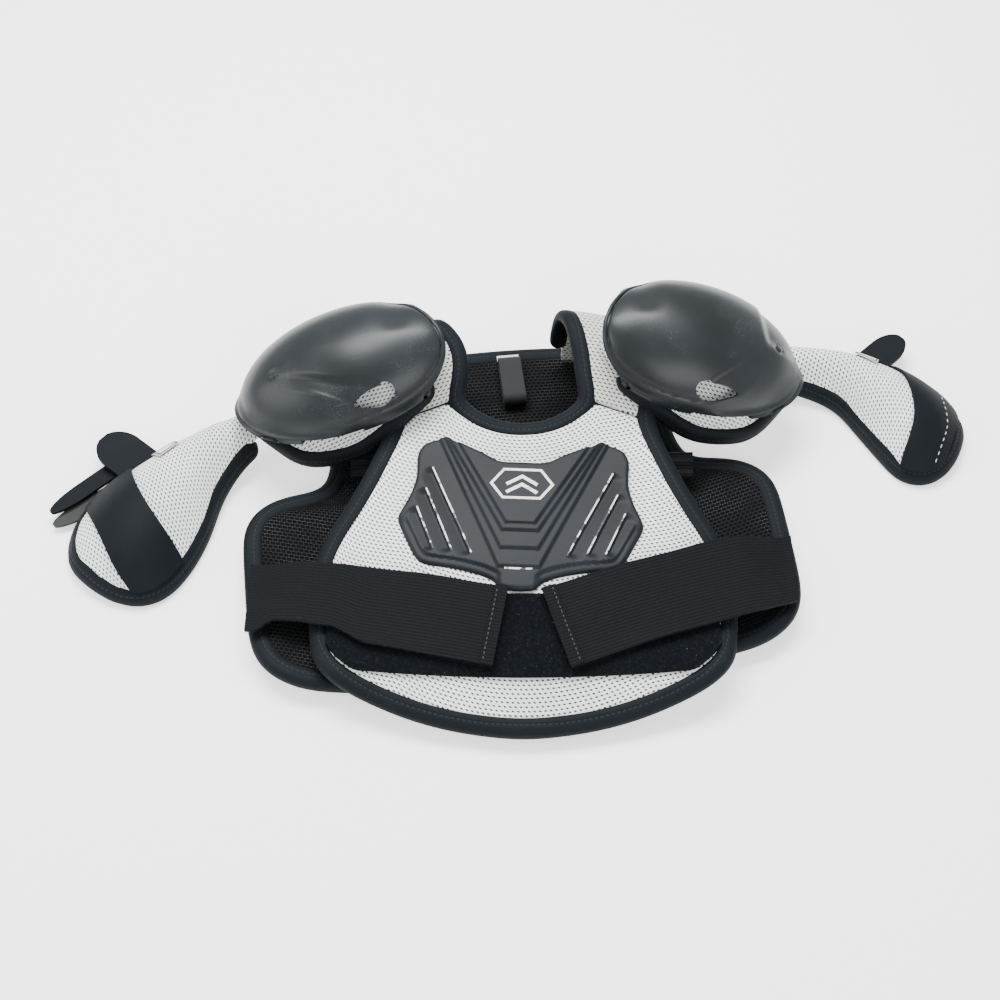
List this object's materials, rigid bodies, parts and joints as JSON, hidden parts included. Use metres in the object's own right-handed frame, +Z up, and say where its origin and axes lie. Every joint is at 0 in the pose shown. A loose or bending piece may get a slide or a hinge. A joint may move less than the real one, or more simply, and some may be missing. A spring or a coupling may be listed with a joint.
{
  "type": "child's body and shoulder guard",
  "caption": "Child's padded chest and back guard with hard shoulder cups, hinged upper-arm pads and elastic waist straps, laid on its back.",
  "frame": {"origin": "centre of the flat back plate's underside, on the floor", "axes": "+X towards the arm pad on the wearer's left, +Y towards the head, +Z up out of the chest"},
  "size_m": [0.6088, 0.3213, 0.1045],
  "materials": {
    "white_mesh": "perforated knitted mesh",
    "spacer_lining": "honeycomb spacer mesh",
    "foam": "closed-cell foam",
    "binding": "matt neoprene edge binding",
    "plastic": "satin moulded plastic",
    "elastic": "ribbed woven elastic",
    "webbing": "woven tape",
    "loop_fleece": "brushed loop fabric",
    "label": "woven blank label",
    "badge": "printed mark"
  },
  "bodies": {
    "back": {"back_plate": "plastic", "back_outer_mesh": "white_mesh", "back_foam": "foam", "back_lining": "spacer_lining", "back_binding": "binding", "size_label": "label", "waist_elastic_left": "elastic", "waist_elastic_right": "elastic"},
    "hang_loop": {"hang_loop": "webbing"},
    "front": {"front_mesh_cover": "white_mesh", "front_foam": "foam", "front_lining": "spacer_lining", "front_binding": "binding", "neck_binding": "binding", "yoke_left": "white_mesh", "yoke_right": "white_mesh", "chest_plate": "plastic", "chest_badge": "badge", "strap_landing": "loop_fleece", "underarm_elastic_left": "elastic", "underarm_elastic_right": "elastic"},
    "waist_strap_left": {"waist_strap_left": "elastic", "waist_hook_left": "loop_fleece"},
    "waist_strap_right": {"waist_strap_right": "elastic", "waist_hook_right": "loop_fleece"},
    "shoulder_left": {"shoulder_cup_left": "plastic", "shoulder_pad_left": "white_mesh", "shoulder_binding_left": "binding", "cup_rivet_left": "plastic"},
    "shoulder_right": {"shoulder_cup_right": "plastic", "shoulder_pad_right": "white_mesh", "shoulder_binding_right": "binding", "cup_rivet_right": "plastic"},
    "arm_left": {"arm_mesh_left": "white_mesh", "arm_foam_left": "foam", "arm_lining_left": "spacer_lining", "arm_binding_left": "binding", "arm_band_left": "elastic", "arm_label_left": "label"},
    "arm_tab_left": {"arm_strap_tab_left": "elastic"},
    "arm_tail_left": {"arm_strap_tail_left": "elastic"},
    "arm_right": {"arm_mesh_right": "white_mesh", "arm_foam_right": "foam", "arm_lining_right": "spacer_lining", "arm_binding_right": "binding", "arm_band_right": "elastic", "arm_label_right": "label"},
    "arm_tab_right": {"arm_strap_tab_right": "elastic"},
    "arm_tail_right": {"arm_strap_tail_right": "elastic"}
  },
  "joints": [
    {"name": "front_lift", "type": "hinge", "parent": "back", "child": "front", "pos_m": [-0.01789, 0.15698, 0.013], "axis": [-0.9936, -0.1132, 0], "range_deg": [0, 20], "deforming": ["waist_elastic_left", "waist_elastic_right"]},
    {"name": "hang_loop_lift", "type": "hinge", "parent": "back", "child": "hang_loop", "pos_m": [-0.00517, 0.15139, 0.0138], "axis": [-0.9936, -0.1132, 0], "range_deg": [0, 90]},
    {"name": "waist_strap_left_open", "type": "hinge", "parent": "front", "child": "waist_strap_left", "pos_m": [-0.125, -0.05808, 0.03452], "axis": [0, -1, 0], "range_deg": [0, 140]},
    {"name": "waist_strap_right_open", "type": "hinge", "parent": "front", "child": "waist_strap_right", "pos_m": [0.131, -0.04259, 0.036], "axis": [0, 1, 0], "range_deg": [0, 140]},
    {"name": "shoulder_left_swing", "type": "hinge", "parent": "front", "child": "shoulder_left", "pos_m": [-0.043, 0.106, 0], "axis": [0, 0, -1], "range_deg": [0, 15]},
    {"name": "shoulder_right_swing", "type": "hinge", "parent": "front", "child": "shoulder_right", "pos_m": [0.049, 0.113, 0], "axis": [0, 0, 1], "range_deg": [-10, 6]},
    {"name": "arm_left_lift", "type": "hinge", "parent": "shoulder_left", "child": "arm_left", "pos_m": [-0.16839, 0.08656, 0.03], "axis": [-0.7193, 0.6947, 0], "range_deg": [0, 30]},
    {"name": "arm_right_lift", "type": "hinge", "parent": "shoulder_right", "child": "arm_right", "pos_m": [0.18085, 0.13325, 0.03], "axis": [-0.3746, -0.9272, 0], "range_deg": [0, 30]},
    {"name": "arm_tab_left_open", "type": "hinge", "parent": "arm_left", "child": "arm_tab_left", "pos_m": [-0.25725, 0.07228, 0.012], "axis": [0.6233, 0.782, 0], "range_deg": [0, 80]},
    {"name": "arm_tab_right_open", "type": "hinge", "parent": "arm_right", "child": "arm_tab_right", "pos_m": [0.25208, 0.16272, 0.012], "axis": [0.6776, -0.7355, 0], "range_deg": [0, 80]},
    {"name": "arm_tail_left_open", "type": "hinge", "parent": "arm_left", "child": "arm_tail_left", "pos_m": [-0.27462, 0.0543, 0.008], "axis": [-0.7193, 0.6947, 0], "range_deg": [0, 60]},
    {"name": "arm_tail_right_open", "type": "hinge", "parent": "arm_right", "child": "arm_tail_right", "pos_m": [0.23171, 0.12565, 0.003], "axis": [-0.3746, -0.9272, 0], "range_deg": [0, 10]}
  ]
}
